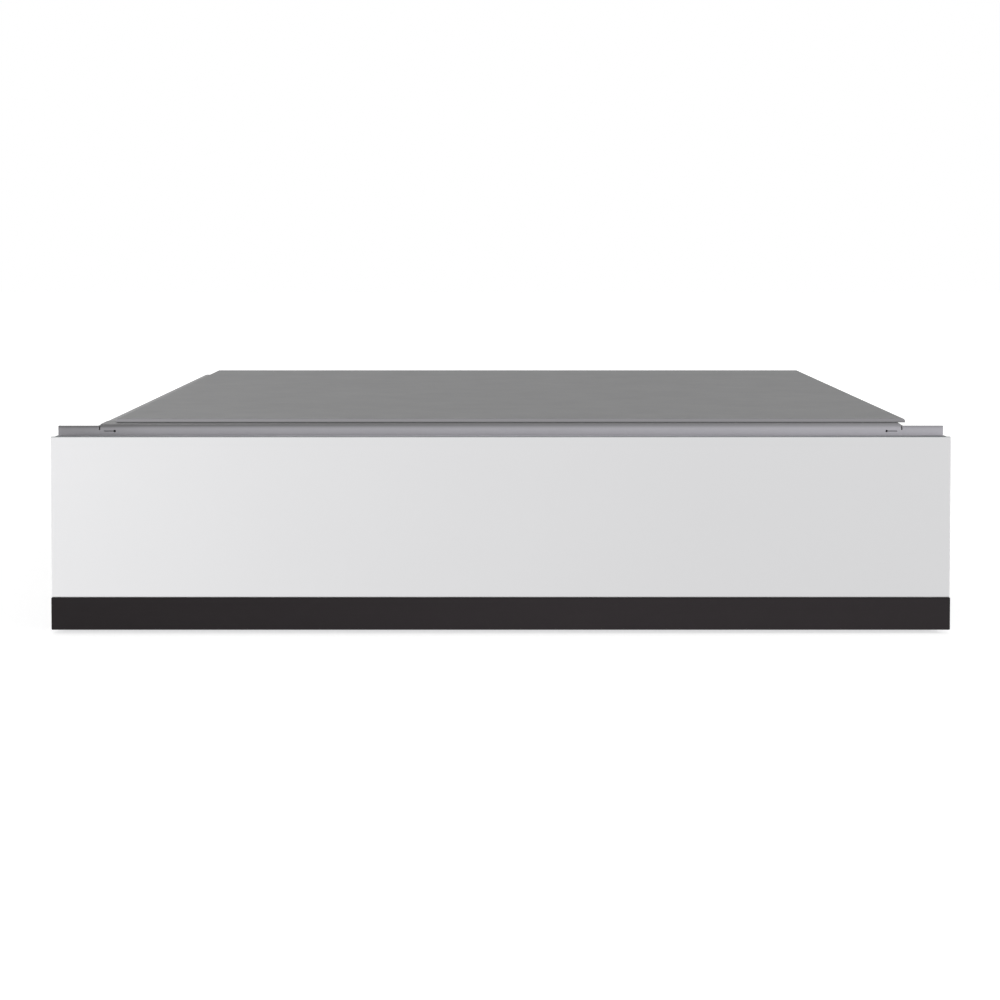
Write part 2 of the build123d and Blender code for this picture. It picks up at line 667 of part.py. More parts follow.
def ball_places(side, row):
    """Centres of the balls of one cage, upper and lower row."""
    first = RUNNER_Y + CAGE_START + (CAGE_LENGTH - (BALL_COUNT - 1) * BALL_PITCH) / 2
    return [
        (side * (WALL_X - row[0]), first + i * BALL_PITCH, RUNNER_Z + sign * row[1])
        for sign in (-1, 1)
        for i in range(BALL_COUNT)
    ]


def ball_cage(side, row, web_u, bend):
    """Ball cage: thin strip folded to a channel, with open pockets for the balls in both edges."""
    u, v = row
    with BuildPart() as cage:
        with BuildSketch(runner_plane(side, RUNNER_Y + CAGE_START)):
            with BuildLine():
                FilletPolyline(
                    (u + CAGE_LIP, v),
                    (web_u, v),
                    (web_u, -v),
                    (u + CAGE_LIP, -v),
                    radius=bend,
                )
            trace(line_width=CAGE_SHEET)
        extrude(amount=side * CAGE_LENGTH)
        with Locations(*ball_places(side, row)):
            Cylinder(BALL_R + POCKET_PLAY, 2 * POCKET_REACH, mode=Mode.SUBTRACT)
    return cage


def balls(side, row):
    """The balls of one cage."""
    with BuildPart() as group:
        with Locations(*ball_places(side, row)):
            Sphere(BALL_R)
    return group


def runner_stop(side):
    """Moulded stop at the rear end of the outer member, the middle member's web closes on it."""
    with BuildPart() as stop:
        with BuildSketch(runner_plane(side, RUNNER_Y + RUNNER_LENGTH - STOP_LENGTH)):
            with Locations((RUNNER_SHEET + STOP_THICK / 2, 0)):
                RectangleRounded(STOP_THICK, STOP_HEIGHT, STOP_ROUND)
        extrude(amount=side * STOP_LENGTH)
    return stop


for side, hand in SIDES:
    write(f"{hand}_runner_outer", runner_outer(side))
    write(f"{hand}_runner_middle", runner_middle(side))
    write(f"{hand}_runner_inner", runner_inner(side))
    write(f"{hand}_outer_cage", ball_cage(side, ROW_A, OUTER_CAGE_U, OUTER_CAGE_BEND))
    write(f"{hand}_inner_cage", ball_cage(side, ROW_B, INNER_CAGE_U, INNER_CAGE_BEND))
    write(f"{hand}_outer_balls", balls(side, ROW_A))
    write(f"{hand}_inner_balls", balls(side, ROW_B))
    write(f"{hand}_runner_stop", runner_stop(side))

# Countersunk screws: outer members to the casing walls, heads below the race channel
sunk_top = RUNNER_SCREW_HEAD_R - RUNNER_SCREW_SUNK
sunk_tip = -RUNNER_SHEET - SHEET - RUNNER_SCREW_TIP
with BuildPart() as sunk_screw:
    with BuildSketch(Plane.XZ):
        with BuildLine():
            Polyline(
                (0, -RUNNER_SCREW_SUNK),
                (0, sunk_tip),
                (RUNNER_SCREW_R, sunk_tip),
                (RUNNER_SCREW_R, RUNNER_SCREW_R - RUNNER_SCREW_HEAD_R),
                (sunk_top, -RUNNER_SCREW_SUNK),
                close=True,
            )
        make_face()
    revolve(axis=Axis.Z)

with BuildPart() as runner_casing_screws:
    places = [
        facing(side * (WALL_X - RUNNER_SHEET), y, z, (-side, 0, 0))
        for side, hand in SIDES
        for y, z in RUNNER_HOLES
    ]
    with Locations(*places):
        add(sunk_screw.part)
write("runner_casing_screws", runner_casing_screws)

# Pan-head screws from inside the tray into the inner members
with BuildPart() as runner_tray_screws:
    places = [
        facing(side * (TRAY_X - SHEET), y, z, (-side, 0, 0))
        for side, hand in SIDES
        for y, z in RUNNER_HOLES
    ]
    with Locations(*places):
        add(pan_screw(SHEET + RUNNER_SHEET + TRAY_SCREW_TIP))
write("runner_tray_screws", runner_tray_screws)

# Tray: floor and sides folded from one sheet, the top edges turned out and down as a safe edge
with BuildPart() as tray:
    side_x = TRAY_X - SHEET / 2
    hem_x = TRAY_X + TRAY_LIP - SHEET / 2
    lip_z = TRAY_TOP - SHEET / 2
    with BuildSketch(front_plane(INNER_Y)):
        with BuildLine():
            FilletPolyline(
                (-hem_x, TRAY_TOP - TRAY_HEM),
                (-hem_x, lip_z),
                (-side_x, lip_z),
                (-side_x, TRAY_BOTTOM + SHEET / 2),
                (side_x, TRAY_BOTTOM + SHEET / 2),
                (side_x, lip_z),
                (hem_x, lip_z),
                (hem_x, TRAY_TOP - TRAY_HEM),
                radius=BEND + SHEET / 2,
            )
        trace(line_width=SHEET)
    extrude(amount=-TRAY_DEPTH)
    with BuildSketch(Plane.YZ):
        with Locations(*RUNNER_HOLES):
            Circle(SCREW_R + FIXING_PLAY)
    extrude(amount=CASING_WIDTH, both=True, mode=Mode.SUBTRACT)
write("tray", tray)

# Tray front and back: sheet pans between the tray's sides
with BuildPart() as tray_front:
    add(pan(INNER_Y, TRAY_RIM, TRAY_X - SHEET, TRAY_BOTTOM + SHEET, TRAY_TOP, 1, PAN_CORNER))
    with BuildSketch(front_plane(INNER_Y)):
        with Locations(*FRONT_SCREW_PLACES):
            Circle(SCREW_R + FIXING_PLAY)
    extrude(amount=2 * SHEET, both=True, mode=Mode.SUBTRACT)
write("tray_front", tray_front)

STRIKER_RIVETS = [(-STRIKER_RIVET_X, LATCH_Z), (STRIKER_RIVET_X, LATCH_Z)]
with BuildPart() as tray_back:
    add(pan(TRAY_BACK_Y, TRAY_RIM, TRAY_X - SHEET, TRAY_BOTTOM + SHEET, TRAY_TOP, -1, PAN_CORNER))
    with BuildSketch(front_plane(TRAY_BACK_Y)):
        with Locations(*STRIKER_RIVETS):
            Circle(RIVET_R + FIXING_PLAY)
    extrude(amount=2 * SHEET, both=True, mode=Mode.SUBTRACT)
write("tray_back", tray_back)

# Striker plate: the steel plate on the tray's back that the latch magnet holds
with BuildPart() as striker_plate:
    with BuildSketch(front_plane(TRAY_BACK_Y)):
        with Locations((0, LATCH_Z)):
            RectangleRounded(STRIKER_WIDTH, STRIKER_HEIGHT, STRIKER_CORNER)
        with Locations(*STRIKER_RIVETS):
            Circle(RIVET_R + FIXING_PLAY, mode=Mode.SUBTRACT)
    extrude(amount=-STRIKER_SHEET)
write("striker_plate", striker_plate)

with BuildPart() as striker_rivets:
    places = [facing(x, TRAY_BACK_Y + STRIKER_SHEET, z, (0, 1, 0)) for x, z in STRIKER_RIVETS]
    with Locations(*places):
        add(rivet(SHEET + STRIKER_SHEET))
write("striker_rivets", striker_rivets)

# Anti-slip mat, laid on the tray's floor between the rims
with BuildPart() as anti_slip_mat:
    with BuildSketch(Plane.XY.offset(TRAY_BOTTOM + SHEET)):
        with Locations((0, (INNER_Y + TRAY_BACK_Y) / 2)):
            RectangleRounded(
                2 * (TRAY_X - SHEET - BEND - MAT_CLEAR),
                TRAY_DEPTH - 2 * (TRAY_RIM + MAT_CLEAR),
                MAT_CORNER,
            )
    extrude(amount=MAT_THICK)
write("anti_slip_mat", anti_slip_mat)

# Front carrier: steel pan behind the glass; the inner panel closes it towards the tray
with BuildPart() as front_carrier:
    add(
        pan(
            CARRIER_Y,
            INNER_Y - CARRIER_Y,
            CARRIER_HALF,
            CARRIER_BOTTOM,
            CARRIER_TOP,
            1,
            CARRIER_CORNER,
        )
    )
write("front_carrier", front_carrier)

with BuildPart() as front_inner_panel:
    add(
        pan(
            INNER_Y,
            INNER_RIM,
            CARRIER_HALF - SHEET,
            CARRIER_BOTTOM + SHEET,
            CARRIER_TOP - SHEET,
            -1,
            PAN_CORNER - SHEET,
        )
    )
    with BuildSketch(front_plane(INNER_Y)):
        with Locations(*FRONT_SCREW_PLACES):
            Circle(SCREW_R + FIXING_PLAY)
    extrude(amount=2 * SHEET, both=True, mode=Mode.SUBTRACT)
write("front_inner_panel", front_inner_panel)

# Front stiffeners: upright hat channels between carrier and inner panel, the front screws hold in them
with BuildPart() as front_stiffeners:
    near, far = CARRIER_Y + 1.5 * SHEET, INNER_Y - 1.5 * SHEET
    bottom = CARRIER_BOTTOM + 2 * SHEET + STIFFENER_CLEAR
    top = CARRIER_TOP - 2 * SHEET - STIFFENER_CLEAR
    for x in (-STIFFENER_X, STIFFENER_X):
        with BuildSketch(Plane.XY.offset(bottom)):
            with BuildLine():
                Polyline(
                    (x - STIFFENER_CROWN / 2 - STIFFENER_BRIM, near),
                    (x - STIFFENER_CROWN / 2, near),
                    (x - STIFFENER_CROWN / 2, far),
                    (x + STIFFENER_CROWN / 2, far),
                    (x + STIFFENER_CROWN / 2, near),
                    (x + STIFFENER_CROWN / 2 + STIFFENER_BRIM, near),
                )
            trace(line_width=SHEET)
        extrude(amount=top - bottom)
    with BuildSketch(front_plane(far)):
        with Locations(*FRONT_SCREW_PLACES):
            Circle(SCREW_R + FIXING_PLAY)
    extrude(amount=SHEET, both=True, mode=Mode.SUBTRACT)
write("front_stiffeners", front_stiffeners)

with BuildPart() as front_screws:
    with Locations(*[facing(x, INNER_Y + SHEET, z, (0, 1, 0)) for x, z in FRONT_SCREW_PLACES]):
        add(pan_screw(3 * SHEET + SCREW_TIP))
write("front_screws", front_screws)

# Front glass: flat pane with ground and polished edges
GLASS_HALF = WIDTH / 2 - GLASS_SIDE_STEP
GLASS_BOTTOM = STRIP_TOP + GLASS_JOINT
with BuildPart() as front_glass:
    with BuildSketch(front_plane(FRONT_Y)):
        with Locations((0, (GLASS_BOTTOM + FRONT_TOP) / 2)):
            Rectangle(2 * GLASS_HALF, FRONT_TOP - GLASS_BOTTOM)
    extrude(amount=-GLASS)
    chamfer(front_glass.faces().sort_by(Axis.Y)[0].edges(), GLASS_BEVEL)
write("front_glass", front_glass)

# Glass tape: four strips of foam tape that bond the glass to the carrier
with BuildPart() as glass_tape:
    tape_half = GLASS_HALF - TAPE_INSET
    tape_low, tape_high = GLASS_BOTTOM + TAPE_INSET, FRONT_TOP - TAPE_INSET
    with BuildSketch(front_plane(FRONT_Y + GLASS)):
        for z in (tape_low + TAPE_WIDTH / 2, tape_high - TAPE_WIDTH / 2):
            with Locations((0, z)):
                Rectangle(2 * tape_half, TAPE_WIDTH)
        for x in (tape_half - TAPE_WIDTH / 2, TAPE_WIDTH / 2 - tape_half):
            with Locations((x, (tape_low + tape_high) / 2)):
                Rectangle(TAPE_WIDTH, tape_high - tape_low - 2 * (TAPE_WIDTH + TAPE_JOINT))
    extrude(amount=-TAPE)
write("glass_tape", glass_tape)

# Trim strip: metal strip along the lower edge, a shallow tray that snaps over the clips
with BuildPart() as trim_strip:
    with BuildSketch(front_plane(FRONT_Y)):
        with Locations((0, (FRONT_BOTTOM + STRIP_TOP) / 2)):
            RectangleRounded(WIDTH, STRIP_HEIGHT, STRIP_ROUND)
    extrude(amount=FRONT_Y - CARRIER_Y)
    fillet(trim_strip.faces().sort_by(Axis.Y)[0].edges(), STRIP_EDGE)
    with BuildSketch(front_plane(FRONT_Y + STRIP_WALL)):
        with Locations((0, (FRONT_BOTTOM + STRIP_TOP) / 2)):
            Rectangle(WIDTH - 2 * STRIP_WALL, STRIP_HEIGHT - 2 * STRIP_WALL)
    extrude(amount=FRONT_Y - CARRIER_Y, mode=Mode.SUBTRACT)
write("trim_strip", trim_strip)

# Trim clips: spring clips on the carrier, folded from thin sheet
with BuildPart() as trim_clips:
    clip_low = FRONT_BOTTOM + STRIP_WALL + CLIP_FIT + CLIP_SHEET / 2
    clip_high = STRIP_TOP - STRIP_WALL - CLIP_FIT - CLIP_SHEET / 2
    clip_back = CARRIER_Y - CLIP_SHEET / 2
    for i in range(CLIP_COUNT):
        x = (i - (CLIP_COUNT - 1) / 2) * CLIP_PITCH
        with BuildSketch(Plane.YZ.offset(x - CLIP_LENGTH / 2)):
            with BuildLine():
                Polyline(
                    (clip_back - CLIP_DEPTH, clip_low),
                    (clip_back, clip_low),
                    (clip_back, clip_high),
                    (clip_back - CLIP_DEPTH, clip_high),
                )
            trace(line_width=CLIP_SHEET)
        extrude(amount=CLIP_LENGTH)
write("trim_clips", trim_clips)


def latch_ring(points):
    """Turned latch piece about the latch's axis, from (radius, y) points."""
    plane = Plane(origin=(0, 0, LATCH_Z), x_dir=(1, 0, 0), z_dir=(0, 0, 1))
    with BuildPart() as shape:
        with BuildSketch(plane):
            with BuildLine():
                Polyline(*points, close=True)
            make_face()
        revolve(axis=Axis((0, 0, LATCH_Z), (0, 1, 0)))
    return shape.part


# Latch housing: moulded tube with a square flange on the casing's back, slotted for the catch
with BuildPart() as latch_housing:
    bore = PLUNGER_R + PLUNGER_FIT
    add(
        latch_ring(
            [
                (bore, LATCH_FRONT_Y),
                (LATCH_BODY_R, LATCH_FRONT_Y),
                (LATCH_BODY_R, LATCH_BACK_Y),
                (CAVITY_R, LATCH_BACK_Y),
                (CAVITY_R, LATCH_FRONT_Y + LATCH_WALL),
                (bore, LATCH_FRONT_Y + LATCH_WALL),
            ]
        )
    )
    with BuildSketch(front_plane(LATCH_BACK_Y)):
        with Locations((0, LATCH_Z)):
            RectangleRounded(LATCH_FLANGE, LATCH_FLANGE, LATCH_CORNER)
            Circle(CAVITY_R, mode=Mode.SUBTRACT)
        with Locations((-LATCH_SCREW_X, LATCH_Z), (LATCH_SCREW_X, LATCH_Z)):
            Circle(SCREW_R + FIXING_PLAY, mode=Mode.SUBTRACT)
    extrude(amount=LATCH_FLANGE_THICK)
    with BuildSketch(Plane.XY.offset(LATCH_Z)):
        with Locations((0, LATCH_FRONT_Y + CATCH_SLOT_INSET + CATCH_SLOT_LENGTH / 2)):
            Rectangle(CATCH_SLOT_WIDTH, CATCH_SLOT_LENGTH)
    extrude(amount=LATCH_BODY_R + LATCH_WALL, mode=Mode.SUBTRACT)
write("latch_housing", latch_housing)

with BuildPart() as latch_cap:
    add(
        latch_ring(
            [
                (0, CAP_Y),
                (CAVITY_R - CAP_FIT, CAP_Y),
                (CAVITY_R - CAP_FIT, LATCH_BACK_Y),
                (0, LATCH_BACK_Y),
            ]
        )
    )
write("latch_cap", latch_cap)

with BuildPart() as latch_screws:
    places = [
        facing(x, LATCH_BACK_Y - LATCH_FLANGE_THICK, LATCH_Z, (0, -1, 0))
        for x in (-LATCH_SCREW_X, LATCH_SCREW_X)
    ]
    with Locations(*places):
        add(pan_screw(LATCH_FLANGE_THICK + SHEET + TRAY_SCREW_TIP))
write("latch_screws", latch_screws)

# Latch plunger: head with a seat for the magnet, shaft through the housing, collar for the spring
with BuildPart() as latch_plunger:
    head_back = PLUNGER_Y + PLUNGER_HEAD
    add(
        latch_ring(
            [
                (0, PLUNGER_Y + MAGNET),
                (MAGNET_R, PLUNGER_Y + MAGNET),
                (MAGNET_R, PLUNGER_Y),
                (PLUNGER_HEAD_R - PLUNGER_EDGE, PLUNGER_Y),
                (PLUNGER_HEAD_R, PLUNGER_Y + PLUNGER_EDGE),
                (PLUNGER_HEAD_R, head_back),
                (PLUNGER_R, head_back),
                (PLUNGER_R, COLLAR_BACK_Y - COLLAR),
                (COLLAR_R, COLLAR_BACK_Y - COLLAR),
                (COLLAR_R, COLLAR_BACK_Y),
                (TAIL_R, COLLAR_BACK_Y),
                (TAIL_R, CAP_Y - PRESS - TAIL_CLEAR),
                (0, CAP_Y - PRESS - TAIL_CLEAR),
            ]
        )
    )
write("latch_plunger", latch_plunger)

with BuildPart() as latch_magnet:
    add(
        latch_ring(
            [
                (0, PLUNGER_Y),
                (MAGNET_R, PLUNGER_Y),
                (MAGNET_R, PLUNGER_Y + MAGNET),
                (0, PLUNGER_Y + MAGNET),
            ]
        )
    )
write("latch_magnet", latch_magnet)

# Latch spring: round wire wound in one unbroken run between the collar and the cap. Each half
# turn is two arcs that meet each other and the next half turn without a kink
SPRING_HEIGHT = SPRING_SPACE - 2 * (SPRING_SEAT + SPRING_WIRE_R)
SPRING_PITCH = SPRING_HEIGHT / SPRING_TURNS
SPRING_Y = COLLAR_BACK_Y + SPRING_SEAT + SPRING_WIRE_R


def coil_point(half_turns):
    """Point on the spring's centreline, this many half turns from its front end."""
    angle = pi * half_turns
    along = SPRING_Y + SPRING_PITCH * half_turns / 2
    return Vector(SPRING_R * sin(angle), along, LATCH_Z + SPRING_R * cos(angle))


def coil_direction(half_turns):
    """Direction of the spring's wire there."""
    angle = pi * half_turns
    return Vector(SPRING_R * cos(angle), SPRING_PITCH / (2 * pi), -SPRING_R * sin(angle)).normalized()


with BuildPart() as latch_spring:
    with BuildLine() as coil:
        for i in range(2 * SPRING_TURNS):
            start, end = coil_point(i), coil_point(i + 1)
            leaving, arriving = coil_direction(i), coil_direction(i + 1)
            chord, both = end - start, leaving + arriving
            spread = 2 * (1 - leaving.dot(arriving))
            pull = (sqrt(chord.dot(both) ** 2 + spread * chord.dot(chord)) - chord.dot(both)) / spread
            near, far = start + leaving * pull, end - arriving * pull
            TangentArc(start, (near + far) / 2, tangent=leaving)
            TangentArc((near + far) / 2, end, tangent=far - near)
    wire = coil.wires()[0]
    with BuildSketch(Plane(origin=wire @ 0, z_dir=wire % 0)):
        Circle(SPRING_WIRE_R)
    sweep(path=wire)
write("latch_spring", latch_spring)
print(f"latch spring: gap between turns {SPRING_PITCH - 2 * SPRING_WIRE_R:.2f} mm")
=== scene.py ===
# Built-in storage drawer: grey sheet-steel casing for a cabinet niche, tray on ball runners,
# white glass front over a black strip, push latch at the back. Metres, Z up, +Y into the niche.

import math

import bmesh
import bpy
from mathutils import Matrix, Vector


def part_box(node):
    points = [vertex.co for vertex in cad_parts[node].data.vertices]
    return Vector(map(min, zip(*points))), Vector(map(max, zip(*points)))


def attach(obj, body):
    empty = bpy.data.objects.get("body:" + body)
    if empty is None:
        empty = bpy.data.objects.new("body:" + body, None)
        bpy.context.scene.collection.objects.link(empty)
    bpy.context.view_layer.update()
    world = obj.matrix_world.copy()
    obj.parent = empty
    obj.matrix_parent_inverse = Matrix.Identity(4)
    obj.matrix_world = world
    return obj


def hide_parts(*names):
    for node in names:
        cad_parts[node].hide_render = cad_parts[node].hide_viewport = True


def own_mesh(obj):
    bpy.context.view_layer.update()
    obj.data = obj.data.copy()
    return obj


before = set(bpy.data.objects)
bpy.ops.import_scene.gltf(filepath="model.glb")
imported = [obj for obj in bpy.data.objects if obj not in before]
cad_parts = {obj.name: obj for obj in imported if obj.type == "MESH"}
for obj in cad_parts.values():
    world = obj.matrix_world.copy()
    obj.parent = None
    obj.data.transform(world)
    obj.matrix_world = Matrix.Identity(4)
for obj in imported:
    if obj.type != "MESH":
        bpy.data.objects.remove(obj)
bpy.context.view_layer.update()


# The eye: a long lens a little above the casing. It is tipped down slightly and its view is
# shifted down, so that the drawer's upright edges stay upright.
EYE = (-0.0006, -1.6607, 0.2628)
EYE_TIP = 2.3  # degrees
EYE_LENS = 75.98  # millimetres
EYE_SHIFT = (0.0002, -0.1792)

eye = bpy.data.objects.new("eye", bpy.data.cameras.new("eye"))
bpy.context.scene.collection.objects.link(eye)
bpy.context.scene.camera = eye
eye.location = EYE
eye.rotation_euler = (math.radians(90 - EYE_TIP), 0, 0)
eye.data.lens = EYE_LENS
eye.data.shift_x, eye.data.shift_y = EYE_SHIFT
bpy.context.scene.view_settings.view_transform = "Standard"


# Light and floor: dim daylight from all round and three soft lamps, a low one on the left in
# front, one on the right and a weak one behind. The surroundings show white. The floor shows from
# above only: it keeps the shadow of the drawer and fades to white away from it.
class Wire:
    """A shader socket that can stand in a Python expression."""

    def __init__(self, tree, socket):
        self.tree, self.socket = tree, socket

    def maths(self, operation, *values):
        return self.tree.node("Math", {"operation": operation}, dict(enumerate(values)))

    def __add__(self, other):
        return self.maths("ADD", self, other)

    def __sub__(self, other):
        return self.maths("SUBTRACT", self, other)

    def __rsub__(self, other):
        return self.maths("SUBTRACT", other, self)

    def __mul__(self, other):
        return self.maths("MULTIPLY", self, other)

    def __pow__(self, other):
        return self.maths("POWER", self, other)

    def __gt__(self, other):
        return self.maths("GREATER_THAN", self, other)

    def __lt__(self, other):
        return self.maths("LESS_THAN", self, other)

    __radd__, __rmul__ = __add__, __mul__


class Tree:
    """The node tree of the world or of a material."""

    def __init__(self, owner):
        owner.use_nodes = True
        self.nodes, self.links = owner.node_tree.nodes, owner.node_tree.links

    def join(self, value, socket):
        """Feeds a socket with a wire, or sets it to a number, a colour or a vector."""
        if isinstance(value, Wire):
            self.links.new(value.socket, socket)
        elif socket.type == "RGBA":
            socket.default_value = (*value, 1)
        else:
            socket.default_value = value

    def node(self, kind, settings, values, output=0):
        """Adds a node with its settings, feeds its sockets and gives one of its outputs."""
        made = self.nodes.new("ShaderNode" + kind)
        for name, value in settings.items():
            setattr(made, name, value)
        for name, value in values.items():
            self.join(value, made.inputs[name])
        return Wire(self, made.outputs[output])

    def background_rays(self):
        """1 for a ray that looks at the surroundings, and 0 for one that gathers their light."""
        rays = [self.node("LightPath", {}, {}, f"Is {kind} Ray") for kind in ("Camera", "Glossy")]
        return rays[0] + rays[1] + self.node("LightPath", {}, {}, "Is Transmission Ray")


class Finish(Tree):
    """A material under way: its shader, and the place on the piece that its patterns read."""

    def __init__(self, name, sockets):
        self.material = bpy.data.materials.new(name)
        super().__init__(self.material)
        self.shader = self.nodes["Principled BSDF"]
        self.place = self.node("TexCoord", {}, {}, "Object")
        self.set(sockets)

    def set(self, sockets):
        for name, value in sockets.items():
            self.join(value, self.shader.inputs[name])

    def along(self, axis):
        """Place along X, Y or Z, in metres."""
        return self.node("SeparateXYZ", {}, {0: self.place}, axis)

    def blend(self, factor, low, high):
        """Colour between low and high."""
        sockets = {0: factor, 6: low, 7: high}
        return self.node("Mix", {"data_type": "RGBA"}, sockets, 2)

    def cloud(self, size, stretch=(1, 1, 1), detail=2):
        """Soft noise from 0 to 1 with lumps of about that size, drawn out by stretch."""
        scale = tuple(1 / (size * s) for s in stretch)
        place = self.node("Mapping", {}, {"Vector": self.place, "Scale": scale})
        return self.node("TexNoise", {}, {"Vector": place, "Scale": 1, "Detail": detail})

    def relief(self, height, depth):
        """Bump of that depth in metres, from a height of 0 to 1."""
        self.set({"Normal": self.node("Bump", {}, {"Height": height, "Distance": depth})})


def lamp(name, place, width, power):
    """Square soft lamp that looks at the middle of the drawer."""
    light = bpy.data.lights.new(name, "AREA")
    light.energy, light.size = power, width
    holder = bpy.data.objects.new(name, light)
    bpy.context.scene.collection.objects.link(holder)
    holder.location = place
    holder.rotation_euler = (-Vector(place)).to_track_quat("-Z", "Y").to_euler()


MM = 0.001
DAYLIGHT = 0.34
bpy.context.scene.world = bpy.data.worlds.new("daylight")
daylight = Tree(bpy.context.scene.world)
brightness = DAYLIGHT + (1 - DAYLIGHT) * daylight.background_rays()
daylight.join((1, 1, 1), daylight.nodes["Background"].inputs["Color"])
daylight.join(brightness, daylight.nodes["Background"].inputs["Strength"])
lamp("left_lamp", (-1.25, -1.35, 0.24), 0.42, 15)
lamp("right_lamp", (2.0, -1.0, 0.7), 0.8, 24)
lamp("back_lamp", (-0.9, 1.7, 1.7), 1.0, 9)

FLOOR_REACH = 8  # metres to each side
FLOOR_DEPTH = -0.2 * MM  # just below the casing
FLOOR_PALE = (0.86, 0.86, 0.86)
FLOOR_GLOW = 0.54  # added to the floor's look, so that it is white where the lamps light it
FLOOR_WHITE = 1.3  # glow of the far floor
FLOOR_FADE = {"From Min": 1.0, "From Max": 1.8}  # metres from the drawer, white from there on
floor_shape = bmesh.new()
bmesh.ops.create_grid(floor_shape, x_segments=1, y_segments=1, size=FLOOR_REACH)
bmesh.ops.translate(floor_shape, vec=(0, 0, FLOOR_DEPTH), verts=floor_shape.verts)
floor_mesh = bpy.data.meshes.new("floor")
floor_shape.to_mesh(floor_mesh)
floor = bpy.data.objects.new("floor", floor_mesh)
bpy.context.scene.collection.objects.link(floor)
pale = Finish("pale_floor", {"Base Color": FLOOR_PALE, "Roughness": 0.9})
glow = pale.node("Emission", {}, {"Strength": FLOOR_GLOW})
near = pale.node("AddShader", {}, {0: Wire(pale, pale.shader.outputs[0]), 1: glow})
far = pale.node("Emission", {}, {"Strength": FLOOR_WHITE})
distance = pale.node("VectorMath", {"operation": "LENGTH"}, {0: pale.place}, "Value")
fading = pale.node("MapRange", {}, {"Value": distance, **FLOOR_FADE})
shown = pale.node("MixShader", {}, {0: fading, 1: near, 2: far})
clear = pale.node("BsdfTransparent", {}, {})
from_above = 1 - pale.node("NewGeometry", {}, {}, "Backfacing")
sides = {0: from_above * pale.background_rays(), 1: clear, 2: shown}
pale.join(pale.node("MixShader", {}, sides), pale.nodes["Material Output"].inputs["Surface"])
floor_mesh.materials.append(pale.material)


# Casing: base, two side walls and back, folded from millimetre sheet steel and painted satin
# grey. The rolled sheet shows through the paint as faint clouds, the paint has a fine orange peel.
def painted(name, colour, roughness, specular, peel):
    """Satin paint on sheet steel. Peel is the depth of its orange peel."""
    finish = Finish(name, {"Specular IOR Level": specular})
    tone = finish.cloud(60 * MM, detail=3) * 0.6 + finish.cloud(4 * MM) * 0.4
    light, dark = (tuple(c * share for c in colour) for share in (1.05, 0.95))
    rough = roughness - 0.05 + 0.1 * finish.cloud(25 * MM)
    finish.colour = finish.blend(tone, dark, light)
    finish.set({"Base Color": finish.colour, "Roughness": rough})
    finish.relief(finish.cloud(1.1 * MM, detail=1), peel)
    return finish


def dress(finish, *nodes):
    """Gives CAD nodes their finish."""
    for name in nodes:
        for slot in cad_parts[name].material_slots:
            slot.material = finish.material


CASING_GREY = (0.245, 0.245, 0.25)
casing_paint = painted("casing_paint", CASING_GREY, 0.5, 0.3, 0.03 * MM)
dress(casing_paint, "casing_base", "casing_left_side", "casing_right_side", "casing_back")


# Casing rivets: steel blind rivets through the frame's returns, the side walls and the back's
# rims. The pulled mandrel leaves its stub down in the bore of each domed head.
WELD = 0.001 * MM  # points that are closer are one point
ROUND_SIDES = 24  # sides of a turned shape
SPIN = 47  # degrees that each fastener is turned past the one before
CREASE = 35  # degrees, a sharper edge isn't smoothed


def solids(node):
    """Lowest and highest corner of each solid of a CAD node, in order of place."""
    shape = bmesh.new()
    shape.from_mesh(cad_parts[node].data)
    bmesh.ops.remove_doubles(shape, verts=shape.verts, dist=WELD)
    boxes, left = [], set(shape.verts)
    while left:
        solid, rim = [], [left.pop()]
        while rim:
            vert = rim.pop()
            solid.append(vert.co)
            near = {edge.other_vert(vert) for edge in vert.link_edges} & left
            left -= near
            rim.extend(near)
        boxes.append([Vector(map(limit, zip(*solid))) for limit in (min, max)])
    shape.free()
    return sorted(boxes, key=lambda box: box[0][:])


def turned(points):
    """Turned solid about Z, from (radius, height) points that run from pole to pole."""
    shape = bmesh.new()
    line = [shape.verts.new((radius, 0, height)) for radius, height in points]
    edges = [shape.edges.new(pair) for pair in zip(line, line[1:])]
    turn = {"cent": (0, 0, 0), "axis": (0, 0, 1), "angle": 2 * math.pi, "steps": ROUND_SIDES}
    bmesh.ops.spin(shape, geom=line + edges, use_merge=True, **turn)
    bmesh.ops.remove_doubles(shape, verts=shape.verts, dist=WELD)
    bmesh.ops.recalc_face_normals(shape, faces=shape.faces)
    return shape


def dome(radius, rise, steps):
    """Points of a domed head, from its pole at height 0 down to its rim."""
    ball = (radius**2 + rise**2) / (2 * rise)
    turn = math.asin(radius / ball) / steps
    angles = [turn * i for i in range(steps + 1)]
    return [(ball * math.sin(a), ball * (math.cos(a) - 1)) for a in angles]


def seats(boxes, heading):
    """Place for a fastener on each box: its head's pole on the box, its axis along heading."""
    places = []
    for i, (low, high) in enumerate(boxes):
        middle = (low + high) / 2
        up = Vector(heading(middle))
        reach = abs((high - low).dot(up)) / 2
        spin = Matrix.Rotation(math.radians(SPIN * i), 4, "Z")
        turn = up.to_track_quat("Z", "Y").to_matrix().to_4x4()
        places.append(Matrix.Translation(middle + up * reach) @ turn @ spin)
    return places


def repeated(mould, places):
    """Copies of a shape at places, as one shape."""
    mesh = bpy.data.meshes.new("mould")
    mould.to_mesh(mesh)
    shape = bmesh.new()
    for place in places:
        before = len(shape.verts)
        shape.from_mesh(mesh)
        shape.verts.ensure_lookup_table()
        bmesh.ops.transform(shape, matrix=place, verts=shape.verts[before:])
    bpy.data.meshes.remove(mesh)
    return shape


